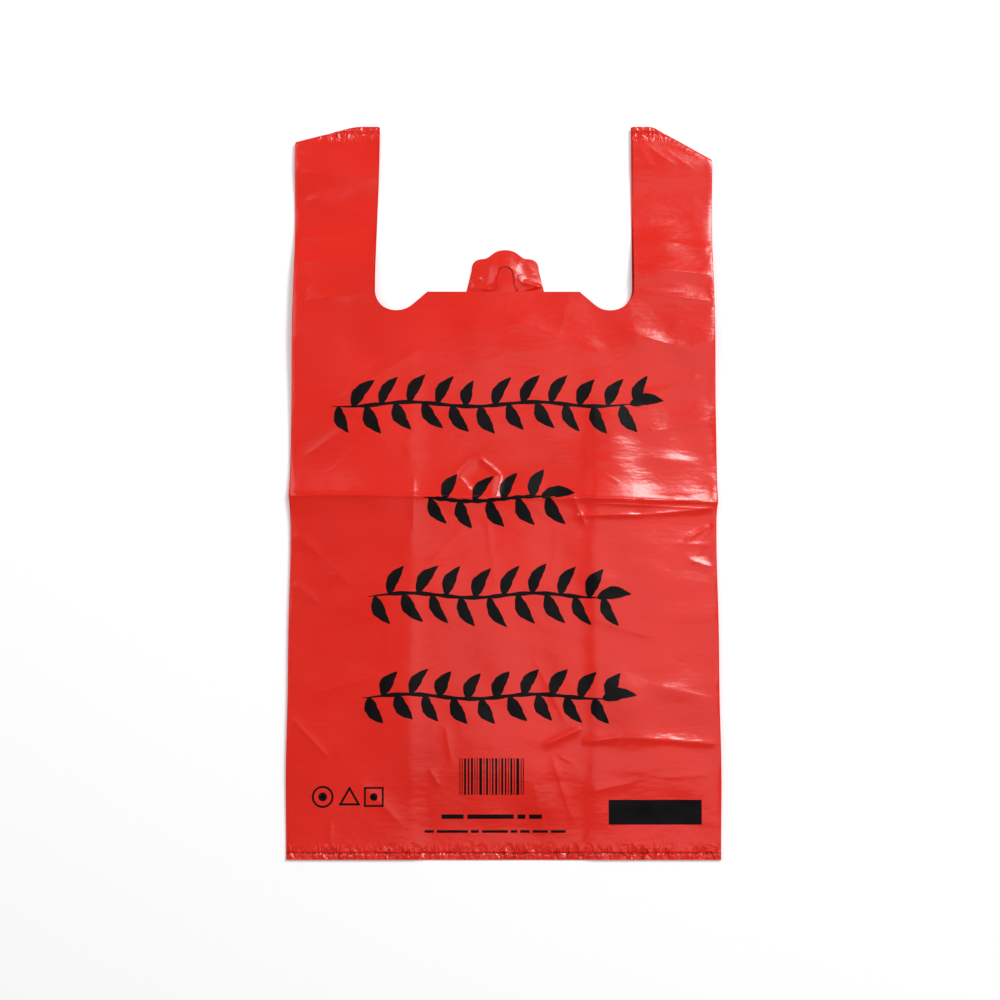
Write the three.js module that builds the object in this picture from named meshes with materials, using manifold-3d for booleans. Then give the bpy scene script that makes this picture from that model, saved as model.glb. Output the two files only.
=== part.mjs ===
// Vest carrier bag: a thin-film shopping bag lying flat, as it is when new.
//
// The bag is one length of blown film tube. Both sides are folded in as gussets, the bottom is
// welded shut, the tops of both handles are welded, and one punch cuts the mouth and the gap
// between the handles. The punch leaves a hanging tab standing on the rear panel. The outer top
// corner of each handle is folded under.
//
// Frame, in millimetres: X runs across the bag, Y from the bottom weld to the handle tops, and Z up
// from the surface it lies on. The origin is the middle of its footprint, on that surface.

import * as THREE from 'three';
import { mergeVertices } from 'three/addons/utils/BufferGeometryUtils.js';
import Module from 'manifold-3d';

const wasm = await Module();
wasm.setup();

// Driving sizes of the flat bag
const BAG_WIDTH = 300;
const BAG_LENGTH = 520;
const GUSSET_DEPTH = 86;
const FILM = 0.4;
const LAYERS = 4;

// Air that keeps the layers of film apart
const LAYER_GAP = 0.6;
const WELD_GAP = 0.1;
const LOOP_AIR = 4.8;
const BODY_AIR = 3.5;

// Punched mouth and handles
const HANDLE_WIDTH = 57;
const HANDLE_RISE = 122.5;
const THROAT_RADIUS = 17;
const THROAT_RISE = 3.5;
const THROAT_ANGLE = THREE.MathUtils.degToRad(41);

// Hanging tab on the rear panel, its tongue slit and its two pin holes
const TAB_WIDTH = 56;
const TAB_HEIGHT = 32;
const TAB_SHOULDER_WIDTH = 48;
const TAB_SHOULDER_HEIGHT = 25.5;
const TAB_SHOULDER_RADIUS = 8;
const TAB_CROWN_EASE = 10;
const TAB_SHIFT = 1.2;
const TONGUE_HEIGHT = 20;
const TONGUE_RADIUS = 5.7;
const TONGUE_SPLAY = 2;
const SLIT_WIDTH = 0.8;
const PIN_RADIUS = 1.1;
const PIN_SPACING = 28;
const PIN_HEIGHT = 11.7;
const PIN_SHIFT = -3.4;

// Welds: the loose hem outside each weld line, and the line itself
const HEM = 4.5;
const HANDLE_HEM = 4;
const WELD_REACH = 3;
const WELD_PROUD = 0.15;
const WELD_LINE_DEPTH = 0.35;
const PUCKER_PITCH = 15;
const PUCKER_HEIGHT = 0.25;

// Folded-under corners of the handles: how far each fold runs along the top and down the side
const LEFT_FOLD = { side: -1, along: 39.8, down: 10.6 };
const RIGHT_FOLD = { side: 1, along: 41.2, down: 23.5 };
const FOLD_GAP = 0.3;
const BENT_THINNING = 0.03;

// Relief of the front panel
const CREASE_RISE = 1.1;
const CREASE_REACH = 22;
const CREASE_Y = -8;
const CREASE_SLANT = 4;
const WAVE_HEIGHT = 0.45;
const WAVE_LENGTH = 170;
const WAVE_SLANT = 0.6;
const COUNTER_WAVE_LENGTH = 220;
const COUNTER_WAVE_SLANT = 0.8;
const RIDGE_RISE = 0.5;
const RIDGE_REACH = 13;

// Lengths over which the layers close towards a weld or a fold
const BOTTOM_TAPER = 46;
const HANDLE_TAPER = 26;
const LIFT_TAPER = 31;
const MOUTH_TAPER = 120;
const SIDE_TAPER = 70;
const SINK_TAPER = 12;

// Places that follow from the sizes above
const HALF_WIDTH = BAG_WIDTH / 2;
const TOP = BAG_LENGTH / 2;
const BOTTOM = -BAG_LENGTH / 2;
const MOUTH = TOP - HANDLE_RISE;
const THROAT = MOUTH + THROAT_RISE;
const HANDLE_INNER = HALF_WIDTH - HANDLE_WIDTH;
const GUSSET_INNER = HALF_WIDTH - GUSSET_DEPTH;
const CLOSED_TOP = TOP - Math.max(LEFT_FOLD.down, RIGHT_FOLD.down) - HANDLE_HEM;
const PACKET = LAYERS * FILM + (LAYERS - 1) * WELD_GAP + WELD_PROUD;
const FOLD_LIFT = PACKET + FOLD_GAP;

// Facets
const GUSSET_STEPS = 7;
const MIDDLE_STEPS = 11;
const REAR_STEPS = 2;
const LEAF_STEPS = 1;
const FOLD_STEPS = 3;
const ARC_STEPS = 10;
const PIN_STEPS = 8;
const ROLL_STEPS = 6;
const PUCKER_STEPS = 4;

const smooth = (value, from, to) => THREE.MathUtils.smoothstep(value, from, to);

// How far the layers are pressed together: 1 at a weld or a folded corner, 0 where they lie loose.
function pressed(y) {
  const bottom = 1 - smooth(y, BOTTOM + HEM, BOTTOM + HEM + BOTTOM_TAPER);
  const top = smooth(y, CLOSED_TOP - HANDLE_TAPER, CLOSED_TOP);
  return Math.max(bottom, top);
}

// Distance from the middle of one layer to the middle of the next.
const layerPitch = (y) => FILM + THREE.MathUtils.lerp(LAYER_GAP, WELD_GAP, pressed(y));

// Extra air between the two leaves of a gusset, which opens the handles into loops.
function loopAir(y) {
  const rising = smooth(y, MOUTH - MOUTH_TAPER, MOUTH - THROAT_RADIUS);
  return LOOP_AIR * rising * (1 - pressed(y));
}

// The handle tops lie on their own folded corners.
const lift = (y) => FOLD_LIFT * smooth(y, CLOSED_TOP - LIFT_TAPER, CLOSED_TOP);

// Half-fold crease across the front panel, a little lower at the right.
function creaseRise(x, y) {
  const line = CREASE_Y - CREASE_SLANT * smooth(x, -HALF_WIDTH, HALF_WIDTH);
  const near = Math.max(0, 1 - Math.abs(y - line) / CREASE_REACH);
  return CREASE_RISE * near * near;
}

// Low ridges where the front panel drapes over the inner folds of the gussets.
function gussetRidge(x, y) {
  const near = Math.max(0, 1 - Math.abs(Math.abs(x) - GUSSET_INNER) / RIDGE_REACH);
  return RIDGE_RISE * near * near * (1 - pressed(y)) * (1 - smooth(y, 0, MOUTH));
}

// Long soft waves that slant across the loose front panel and die out at its edges.
function waves(x, y) {
  const slant = (2 * Math.PI * (x + WAVE_SLANT * y)) / WAVE_LENGTH;
  const counter = (2 * Math.PI * (COUNTER_WAVE_SLANT * x - y)) / COUNTER_WAVE_LENGTH;
  const edge = 1 - smooth(Math.abs(x), HALF_WIDTH - SIDE_TAPER, HALF_WIDTH);
  const loose = (1 - pressed(y)) * (1 - smooth(y, MOUTH - MOUTH_TAPER / 2, MOUTH));
  return WAVE_HEIGHT * (Math.sin(slant) + Math.sin(counter)) * edge * loose;
}

// Middle of the front panel's film above the surface.
function frontHeight(x, y) {
  const across = Math.abs(x);
  const stack = FILM / 2 + lift(y) + (LAYERS - 1) * layerPitch(y) + loopAir(y);
  const loose = (1 - pressed(y)) * (1 - smooth(y, MOUTH - MOUTH_TAPER, MOUTH));
  const full = BODY_AIR * loose * (1 - smooth(across, HALF_WIDTH - SIDE_TAPER, HALF_WIDTH));
  const betweenGussets = 1 - smooth(across, GUSSET_INNER - SINK_TAPER, GUSSET_INNER);
  const sunk = y < 0 ? 2 * layerPitch(y) * pressed(y) * betweenGussets : 0;
  return stack + full - sunk + creaseRise(x, y) + gussetRidge(x, y) + waves(x, y);
}

// Points along a layer of film, without its ends. side is 1 where the tube's outside faces up.
function layer(fromX, toX, height, steps, side) {
  return Array.from({ length: steps - 1 }, (_, k) => {
    const x = THREE.MathUtils.lerp(fromX, toX, (k + 1) / steps);
    return { x, z: height(x), nx: 0, nz: side };
  });
}

// The front panel from its right edge to its left, with a point over each inner gusset fold.
function frontPanel(edge, y) {
  const height = (x) => frontHeight(x, y);
  const ridge = (x) => ({ x, z: height(x), nx: 0, nz: 1 });
  return [
    ...layer(edge, GUSSET_INNER, height, GUSSET_STEPS, 1),
    ridge(GUSSET_INNER),
    ...layer(GUSSET_INNER, -GUSSET_INNER, height, MIDDLE_STEPS, 1),
    ridge(-GUSSET_INNER),
    ...layer(-GUSSET_INNER, -edge, height, GUSSET_STEPS, 1),
  ];
}

// Points round a fold from below to above. reach is 1 where the fold bulges to +X, else -1.
function fold(x, low, high, radius, reach) {
  return Array.from({ length: FOLD_STEPS + 1 }, (_, k) => {
    const angle = Math.PI * (k / FOLD_STEPS - 0.5);
    const nx = Math.cos(angle);
    const nz = Math.sin(angle);
    const z = (low + high) / 2 + ((high - low) / 2) * nz;
    return { x: x + reach * radius * nx, z, nx, nz: nz * reach };
  });
}

// The right side of the folded tube: out round the rear edge, in along the lower leaf, round the
// inner fold, out along the upper leaf and round the front edge.
function rightGusset(y) {
  const pitch = layerPitch(y);
  const rear = FILM / 2 + lift(y);
  const lower = rear + pitch;
  const upper = lower + pitch + loopAir(y);
  const edge = HALF_WIDTH - WELD_PROUD - pitch / 2;
  const inner = GUSSET_INNER + (upper - lower) / 2;
  return [
    ...fold(edge, rear, lower, pitch / 2, 1),
    ...layer(edge, inner, () => lower, LEAF_STEPS, 1),
    ...fold(inner, lower, upper, (upper - lower) / 2, -1),
    ...layer(inner, edge, () => upper, LEAF_STEPS, -1),
    ...fold(edge, upper, frontHeight(edge, y), pitch / 2, 1),
  ];
}

// One closed section of the folded tube, going round it once. The left side mirrors the right, apart
// from its front edge, which follows the front panel there.
function tubeSection(y) {
  const right = rightGusset(y);
  const left = right.map((p) => ({ x: -p.x, z: p.z, nx: -p.nx, nz: p.nz })).reverse();
  const edge = right[right.length - 1].x;
  const shift = frontHeight(-edge, y) - frontHeight(edge, y);
  left.slice(0, FOLD_STEPS + 1).forEach((p) => {
    p.z += (shift * (1 + p.nz)) / 2;
  });
  const rear = FILM / 2 + lift(y);
  return [
    ...right,
    ...frontPanel(edge, y),
    ...left,
    ...layer(-edge, edge, () => rear, REAR_STEPS, -1),
  ];
}

// Stations along the bag, closer together at the welds, the crease and the mouth.
function stations() {
  const creaseLow = CREASE_Y - CREASE_SLANT - CREASE_REACH;
  const creaseHigh = CREASE_Y + CREASE_REACH;
  const runs = [
    [BOTTOM + HEM / 2, BOTTOM + HEM + WELD_REACH, 1],
    [BOTTOM + HEM + WELD_REACH, BOTTOM + HEM + BOTTOM_TAPER, 5],
    [BOTTOM + HEM + BOTTOM_TAPER, creaseLow, 9],
    [creaseLow, creaseHigh, 9],
    [creaseHigh, MOUTH, 7],
    [MOUTH, CLOSED_TOP - LIFT_TAPER, 3],
    [CLOSED_TOP - LIFT_TAPER, CLOSED_TOP, 5],
    [CLOSED_TOP, TOP - HANDLE_HEM / 2, 1],
  ];
  const rows = runs.flatMap(([from, to, steps]) =>
    Array.from({ length: steps }, (_, k) => THREE.MathUtils.lerp(from, to, k / steps)));
  return [...rows, TOP - HANDLE_HEM / 2];
}

// A closed solid from shared corner points and triangles.
function solid(points, triangles) {
  const vertProperties = new Float32Array(points.flat());
  const triVerts = new Uint32Array(triangles.flat());
  return new wasm.Manifold(new wasm.Mesh({ numProp: 3, vertProperties, triVerts }));
}

// The film tube: its sections joined along the bag, with an outer and an inner skin.
function filmTube() {
  const rows = stations();
  const sections = rows.map(tubeSection);
  const count = sections[0].length;
  const points = [1, -1].flatMap((side) => sections.flatMap((section, row) =>
    section.map((p) => [
      p.x + (side * FILM * p.nx) / 2,
      rows[row],
      p.z + (side * FILM * p.nz) / 2,
    ])));
  const at = (skin, row, k) => (skin * rows.length + row) * count + (k % count);
  const triangles = [];
  const quad = (a, b, c, d) => triangles.push([a, b, c], [a, c, d]);
  for (let k = 0; k < count; k += 1) {
    for (let row = 0; row < rows.length - 1; row += 1) {
      quad(at(0, row, k), at(0, row + 1, k), at(0, row + 1, k + 1), at(0, row, k + 1));
      quad(at(1, row, k), at(1, row, k + 1), at(1, row + 1, k + 1), at(1, row + 1, k));
    }
    const last = rows.length - 1;
    quad(at(0, 0, k), at(0, 0, k + 1), at(1, 0, k + 1), at(1, 0, k));
    quad(at(0, last, k), at(1, last, k), at(1, last, k + 1), at(0, last, k + 1));
  }
  return solid(points, triangles);
}

// A band of fused layers between a floor and a top height, on a grid of X and Y stations.
function band(xs, ys, floor, top) {
  const nx = xs.length;
  const ny = ys.length;
  const grid = (height) => ys.flatMap((y) => xs.map((x) => [x, y, height(x, y)]));
  const points = [...grid(floor), ...grid(top)];
  const at = (level, i, j) => (level * ny + j) * nx + i;
  const triangles = [];
  const quad = (a, b, c, d) => triangles.push([a, b, c], [a, c, d]);
  for (let i = 0; i < nx - 1; i += 1) {
    for (let j = 0; j < ny - 1; j += 1) {
      quad(at(0, i, j), at(0, i, j + 1), at(0, i + 1, j + 1), at(0, i + 1, j));
      quad(at(1, i, j), at(1, i + 1, j), at(1, i + 1, j + 1), at(1, i, j + 1));
    }
    quad(at(0, i, 0), at(0, i + 1, 0), at(1, i + 1, 0), at(1, i, 0));
    quad(at(0, i, ny - 1), at(1, i, ny - 1), at(1, i + 1, ny - 1), at(0, i + 1, ny - 1));
  }
  for (let j = 0; j < ny - 1; j += 1) {
    quad(at(0, 0, j), at(1, 0, j), at(1, 0, j + 1), at(0, 0, j + 1));
    quad(at(0, nx - 1, j), at(0, nx - 1, j + 1), at(1, nx - 1, j + 1), at(1, nx - 1, j));
  }
  return solid(points, triangles);
}

// Weld and hem across the bag: a pressed line, with the hem outside it puckered by the heat.
function weldBand(weld, end) {
  const outward = Math.sign(end - weld);
  const ys = [weld - outward * WELD_REACH, weld, end];
  const steps = Math.round((PUCKER_STEPS * BAG_WIDTH) / PUCKER_PITCH);
  const xs = Array.from({ length: steps + 1 }, (_, k) => -HALF_WIDTH + (BAG_WIDTH * k) / steps);
  const top = (x, y) => {
    const line = y === weld ? WELD_LINE_DEPTH : 0;
    const loose = THREE.MathUtils.clamp((y - weld) / (end - weld), 0, 1);
    const pucker = PUCKER_HEIGHT * (Math.cos((2 * Math.PI * x) / PUCKER_PITCH) - 1) * loose;
    return frontHeight(x, y) + FILM / 2 + WELD_PROUD - line + pucker;
  };
  return band(xs, outward < 0 ? ys.reverse() : ys, (x, y) => lift(y), top);
}

// An upright prism of an outline, from one height to another.
function prism(shape, low, high, curveSegments) {
  const geometry = new THREE.ExtrudeGeometry(shape, {
    depth: high - low,
    bevelEnabled: false,
    curveSegments,
  });
  geometry.translate(0, 0, low);
  return fromGeometry(geometry);
}

function fromGeometry(geometry) {
  geometry.deleteAttribute('normal');
  geometry.deleteAttribute('uv');
  const merged = mergeVertices(geometry);
  const vertProperties = merged.attributes.position.array;
  const triVerts = new Uint32Array(merged.index.array);
  return new wasm.Manifold(new wasm.Mesh({ numProp: 3, vertProperties, triVerts }));
}

// The waste that the punch takes out: straight down each handle, round a throat, up a short slant to
// the mouth edge. On the rear panel it goes round the hanging tab.
function punchShape(withTab) {
  const clear = TOP + HANDLE_WIDTH;
  const throatX = HANDLE_INNER - THROAT_RADIUS;
  const turn = 1.5 * Math.PI;
  const slantX = THROAT_RADIUS * Math.sin(THROAT_ANGLE);
  const slantRise = MOUTH - (THROAT - THROAT_RADIUS * Math.cos(THROAT_ANGLE));
  const mouthHalf = throatX - slantX - slantRise / Math.tan(THROAT_ANGLE);
  const shape = new THREE.Shape();
  shape.moveTo(-HANDLE_INNER, clear);
  shape.lineTo(-HANDLE_INNER, THROAT);
  shape.absarc(-throatX, THROAT, THROAT_RADIUS, Math.PI, turn + THROAT_ANGLE, false);
  shape.lineTo(-mouthHalf, MOUTH);
  if (withTab) {
    tabOutline(shape);
  }
  shape.lineTo(mouthHalf, MOUTH);
  shape.absarc(throatX, THROAT, THROAT_RADIUS, turn - THROAT_ANGLE, 2 * Math.PI, false);
  shape.lineTo(HANDLE_INNER, clear);
  return shape;
}

// The tab: slightly tapered sides, round shoulders and a low crown.
function tabOutline(shape) {
  const base = TAB_WIDTH / 2;
  const shoulder = TAB_SHOULDER_WIDTH / 2;
  const corner = shoulder - TAB_SHOULDER_RADIUS;
  const flat = MOUTH + TAB_SHOULDER_HEIGHT;
  const neck = flat - TAB_SHOULDER_RADIUS;
  const crown = MOUTH + TAB_HEIGHT;
  const ease = TAB_CROWN_EASE;
  const point = (x, y) => [TAB_SHIFT + x, y];
  shape.lineTo(...point(-base, MOUTH));
  shape.lineTo(...point(-shoulder, neck));
  shape.quadraticCurveTo(...point(-shoulder, flat), ...point(-corner, flat));
  shape.bezierCurveTo(...point(-ease, flat), ...point(-ease, crown), ...point(0, crown));
  shape.bezierCurveTo(...point(ease, crown), ...point(ease, flat), ...point(corner, flat));
  shape.quadraticCurveTo(...point(shoulder, flat), ...point(shoulder, neck));
  shape.lineTo(...point(base, MOUTH));
}

// The slit that frees the tongue: an arch with slightly splayed legs.
function tongueSlit() {
  const outer = TONGUE_RADIUS + SLIT_WIDTH / 2;
  const inner = TONGUE_RADIUS - SLIT_WIDTH / 2;
  const spring = MOUTH + TONGUE_HEIGHT - TONGUE_RADIUS;
  const shape = new THREE.Shape();
  shape.moveTo(TAB_SHIFT + outer + TONGUE_SPLAY, MOUTH);
  shape.lineTo(TAB_SHIFT + outer, spring);
  shape.absarc(TAB_SHIFT, spring, outer, 0, Math.PI, false);
  shape.lineTo(TAB_SHIFT - outer - TONGUE_SPLAY, MOUTH);
  shape.lineTo(TAB_SHIFT - inner - TONGUE_SPLAY, MOUTH);
  shape.lineTo(TAB_SHIFT - inner, spring);
  shape.absarc(TAB_SHIFT, spring, inner, Math.PI, 0, true);
  shape.lineTo(TAB_SHIFT + inner + TONGUE_SPLAY, MOUTH);
  return shape;
}

function pinHole(side) {
  const shape = new THREE.Shape();
  const x = TAB_SHIFT + PIN_SHIFT + (side * PIN_SPACING) / 2;
  shape.absarc(x, MOUTH + PIN_HEIGHT, PIN_RADIUS, 0, 2 * Math.PI, false);
  return shape;
}

// All that the punch and the pins take out of the welded tube.
function punchOut(bag) {
  const split = FILM + LAYER_GAP / 2;
  const under = -FILM;
  const over = BAG_WIDTH;
  let cut = bag.subtract(prism(punchShape(false), split, over, ARC_STEPS));
  cut = cut.subtract(prism(punchShape(true), under, split, ARC_STEPS));
  cut = cut.subtract(prism(tongueSlit(), under, split, ARC_STEPS));
  for (const side of [-1, 1]) {
    cut = cut.subtract(prism(pinHole(side), under, split, PIN_STEPS));
  }
  return cut;
}

// Folds one handle corner under. The corner beyond the fold line turns half round it, and its layers
// bend round one inside another between the two.
function foldCorner(bag, { side, along, down }) {
  const onTop = new THREE.Vector2(side * (HALF_WIDTH - along), TOP);
  const onSide = new THREE.Vector2(side * HALF_WIDTH, TOP - down);
  const run = onSide.clone().sub(onTop);
  const length = run.length();
  const heading = Math.atan2(run.y, run.x);
  const axisHeight = PACKET + FOLD_GAP / 2;
  const roll = axisHeight;

  // In this local frame X runs along the fold, Y away from the corner and Z up.
  const toBag = new THREE.Matrix4().makeRotationZ(heading);
  toBag.setPosition(onTop.x, onTop.y, axisHeight);
  const inward = -side;
  const beyond = new THREE.Shape();
  const far = 2 * (along + down);
  beyond.moveTo(-far, 0);
  beyond.lineTo(far, 0);
  beyond.lineTo(far, -inward * far);
  beyond.lineTo(-far, -inward * far);
  const inset = toBag.clone().multiply(new THREE.Matrix4().makeTranslation(0, inward * roll, 0));
  const waste = place(extrude(beyond, BAG_WIDTH).translate(0, 0, -BAG_WIDTH / 2), inset);

  const turned = inset.clone().multiply(new THREE.Matrix4().makeRotationX(Math.PI));
  const flap = moved(bag.intersect(waste), turned.multiply(inset.clone().invert()));
  const outline = prism(bagOutline(), -BAG_WIDTH, BAG_WIDTH, 1);
  let folded = bag.subtract(waste).add(flap);
  for (let number = 0; number < LAYERS; number += 1) {
    folded = folded.add(place(bentLayer(number, length, inward), inset).intersect(outline));
  }
  return folded;
}

function bagOutline() {
  const shape = new THREE.Shape();
  shape.moveTo(-HALF_WIDTH, BOTTOM);
  shape.lineTo(HALF_WIDTH, BOTTOM);
  shape.lineTo(HALF_WIDTH, TOP);
  shape.lineTo(-HALF_WIDTH, TOP);
  return shape;
}

// One layer of film bent half round the fold, along X, with short legs that sit inside the flat layers.
// It runs past both ends of the fold, for the bag's outline to trim.
function bentLayer(number, length, inward) {
  const inner = FOLD_GAP / 2 + number * (FILM + WELD_GAP) + BENT_THINNING;
  const outer = inner + FILM - 2 * BENT_THINNING;
  const shape = new THREE.Shape();
  shape.moveTo(FILM, -outer);
  shape.lineTo(0, -outer);
  shape.absarc(0, 0, outer, -Math.PI / 2, -1.5 * Math.PI, true);
  shape.lineTo(FILM, outer);
  shape.lineTo(FILM, inner);
  shape.lineTo(0, inner);
  shape.absarc(0, 0, inner, Math.PI / 2, 1.5 * Math.PI, false);
  shape.lineTo(FILM, -inner);
  const axes = new THREE.Matrix4().makeBasis(
    new THREE.Vector3(0, inward, 0),
    new THREE.Vector3(0, 0, 1),
    new THREE.Vector3(inward, 0, 0),
  );
  const geometry = extrude(shape, 2 * length).translate(0, 0, -length);
  return geometry.applyMatrix4(axes).translate(length / 2, 0, 0);
}

function extrude(shape, depth) {
  const options = { depth, bevelEnabled: false, curveSegments: ROLL_STEPS };
  return new THREE.ExtrudeGeometry(shape, options);
}

const place = (geometry, matrix) => fromGeometry(geometry.clone().applyMatrix4(matrix));

function moved(manifold, matrix) {
  const { numProp, vertProperties, triVerts } = manifold.getMesh();
  const position = new THREE.BufferAttribute(vertProperties, numProp).applyMatrix4(matrix);
  return new wasm.Manifold(new wasm.Mesh({ numProp, vertProperties: position.array, triVerts }));
}

function carrierBag() {
  let bag = filmTube();
  bag = bag.add(weldBand(BOTTOM + HEM, BOTTOM));
  bag = bag.add(weldBand(TOP - HANDLE_HEM, TOP));
  bag = punchOut(bag);
  for (const corner of [LEFT_FOLD, RIGHT_FOLD]) {
    bag = foldCorner(bag, corner);
  }
  return bag;
}

function toMesh(manifold, name, material) {
  const { numProp, vertProperties, triVerts } = manifold.getMesh();
  const geometry = new THREE.BufferGeometry();
  geometry.setAttribute('position', new THREE.BufferAttribute(vertProperties, numProp));
  geometry.setIndex(new THREE.BufferAttribute(triVerts, 1));
  geometry.computeVertexNormals();
  const mesh = new THREE.Mesh(geometry, material);
  mesh.name = name;
  return mesh;
}

const redFilm = new THREE.MeshStandardMaterial({ color: 0xe33a2c, roughness: 0.35, metalness: 0 });

const carrier = new THREE.Group();
carrier.add(toMesh(carrierBag(), 'carrier_bag', redFilm));

export default carrier;
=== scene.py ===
import bmesh
import bpy
import numpy as np
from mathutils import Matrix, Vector


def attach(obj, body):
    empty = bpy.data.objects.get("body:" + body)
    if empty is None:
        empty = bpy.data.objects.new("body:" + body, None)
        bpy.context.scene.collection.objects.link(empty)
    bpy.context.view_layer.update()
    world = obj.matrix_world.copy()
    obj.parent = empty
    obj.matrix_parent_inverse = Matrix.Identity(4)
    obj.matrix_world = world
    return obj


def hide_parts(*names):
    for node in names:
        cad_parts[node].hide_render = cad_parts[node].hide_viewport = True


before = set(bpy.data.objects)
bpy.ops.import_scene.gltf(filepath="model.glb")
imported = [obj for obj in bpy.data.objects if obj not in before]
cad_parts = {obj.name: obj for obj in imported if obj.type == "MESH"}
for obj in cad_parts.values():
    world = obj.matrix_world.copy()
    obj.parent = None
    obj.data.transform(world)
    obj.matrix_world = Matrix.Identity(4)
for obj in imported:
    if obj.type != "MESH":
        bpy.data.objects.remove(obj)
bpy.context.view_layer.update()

# The film of the bag: one length of blown low-density polyethylene tube, folded in at both sides,
# welded at the bottom and at both handle tops, and punched. All lengths are in millimetres until
# the mesh is filled.
film = 0.3
half, top, bottom = 150.0, 260.0, -260.0
# Where the inner folds of the gussets and the inner edges of the handles lie
gusset_inner, handle_inner = 64.0, 93.0
mouth, throat, throat_radius = 137.5, 141.0, 17.0
# Film that stands beyond the weld lines
hem, handle_hem = 4.5, 4.0
# The handle corners folded under, each by a line between two points: one along the top edge from the
# corner, one down the side. A handle is lifted by the corner beneath it.
left_fold = dict(side=-1, along=39.8, down=10.6)
right_fold = dict(side=1, along=41.2, down=23.5)
closed_top = top - right_fold["down"] - handle_hem
fold_lift = 2.35
# The hanging tab: its middle, where the arch of its tongue springs, and the holes of the stacking pins
tab_middle = 1.2
spring = mouth + 14.3
pins = [(-16.2, mouth + 11.7), (11.8, mouth + 11.7)]
pin_radius = 0.8


def smooth(value, start, end):
    """0 before start and 1 after end, with an S-shaped rise between them."""
    t = np.clip((value - start) / (end - start), 0, 1)
    return t * t * (3 - 2 * t)


def pressed(y):
    """1 where the layers are pressed together by a weld or a fold, 0 where they lie loose."""
    at_bottom = 1 - smooth(y, bottom + hem, bottom + hem + 80)
    return np.maximum(at_bottom, smooth(y, closed_top - 90, closed_top - 45))


def layer_pitch(y):
    """Height from one layer of film to the next: 1 mm where loose, 0.5 mm where pressed."""
    return 1.0 - 0.5 * pressed(y)


def loop_air(y):
    """Air between the two leaves of a gusset, which grows from the body towards the handles."""
    return 4.8 * smooth(y, mouth - 120, mouth - throat_radius) * (1 - smooth(y, 146, 196))


def line_relief(x, y, lines):
    """Sum of straight creases. Each rises to its height on its line, falls off with the square of
    the distance across its reach, and fades towards its two ends."""
    total = np.zeros(np.broadcast(x, y).shape)
    for x0, y0, x1, y1, height, reach in lines:
        along = ((x - x0) * (x1 - x0) + (y - y0) * (y1 - y0)) / ((x1 - x0) ** 2 + (y1 - y0) ** 2)
        place = np.clip(along, 0, 1)
        gap = np.hypot(x - x0 - place * (x1 - x0), y - y0 - place * (y1 - y0))
        total += height * np.clip(1 - gap / reach, 0, 1) ** 2 * (1 - (2 * place - 1) ** 4 * 0.8)
    return total


# Creases that handling has left in the front panel: ends, height and reach of each
panel_creases = [
    (-160, -8, 0, -9, 0.4, 3.5), (0, -9, 160, -13, 0.45, 3.5), (66, -14.5, 150, -17.5, 0.25, 1.8),
    (-32, 6, -18, 19, 0.7, 5), (-18, 19, -2, 6, 0.8, 5), (-2, 6, -7, -17, 0.8, 5),
    (-32, 6, -23, -5, 0.5, 5), (50, -23, 99, -22, 0.8, 5), (99, -22, 148, -17, 0.7, 6),
    (47, -6, 57, -29, 0.6, 5), (127, -40, 145, -29, 0.5, 4), (118, -42, 148, -43, 0.3, 5),
    (129, -53, 148, -59, 0.4, 5), (-63, 2, -63, -33, 0.25, 4), (-148, -33, -108, -70, 0.5, 10),
    (-148, -68, -129, -84, 0.45, 8), (66, 17, 148, 17, 0.4, 16), (68, 8, 82, 0, 0.15, 4),
    (28, -182, 54, -170, 0.9, 6), (38, -189, 49, -195, 0.35, 4), (54, -180, 82, -176, 0.8, 6),
    (82, -176, 148, -181, 1.0, 8), (33, -189, 48, -235, 0.45, 7), (-51, -199, -44, -210, 0.4, 4),
    (-147, -163, -122, -189, 0.4, 5), (58, -214, 93, -206, 0.4, 6), (108, -204, 140, -202, 0.35, 7),
    (-119, -252, -119, -235, 0.4, 4), (54, -252, 60, -240, 0.4, 4), (-40, -170, -36, -193, 0.3, 5),
    (96, 60, 145, 78, 0.4, 12), (84, 110, 140, 92, 0.45, 12), (52, 96, 92, 84, 0.3, 14),
    (100, 36, 146, 46, 0.35, 9), (-60, 96, -110, 64, 0.35, 14), (-140, 20, -104, 44, 0.4, 12),
    (64, -96, 118, -112, 0.35, 14), (-138, -150, -84, -132, 0.4, 14), (4, 118, 40, 104, 0.25, 12),
    (20, -120, 44, -168, 0.3, 10), (-100, -206, -70, -236, 0.35, 8), (100, -140, 146, -150, 0.35, 9),
]
# Creases across and along the handles
handle_creases = [
    (-143, 160, -99, 162, 0.35, 5), (-146, 226, -92, 221, 0.4, 12), (-144, 204, -94, 196, 0.3, 14),
    (97, 137.5, 149, 130.5, 0.7, 6), (96, 155, 149, 150, 0.5, 8), (98, 178, 149, 169, 0.4, 12),
    (99, 249, 124, 231, 0.3, 7), (112, 246, 140, 226, 0.2, 8), (-112, 256, -100, 240, 0.35, 5),
    (-140, 140, -110, 128, 0.3, 12), (-146, 240, -120, 250, 0.4, 6),
    (-146, 178, -100, 183, 0.4, 7), (-141, 206, -110, 214, 0.4, 8), (-140, 131, -99, 136, 0.4, 6),
]


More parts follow.
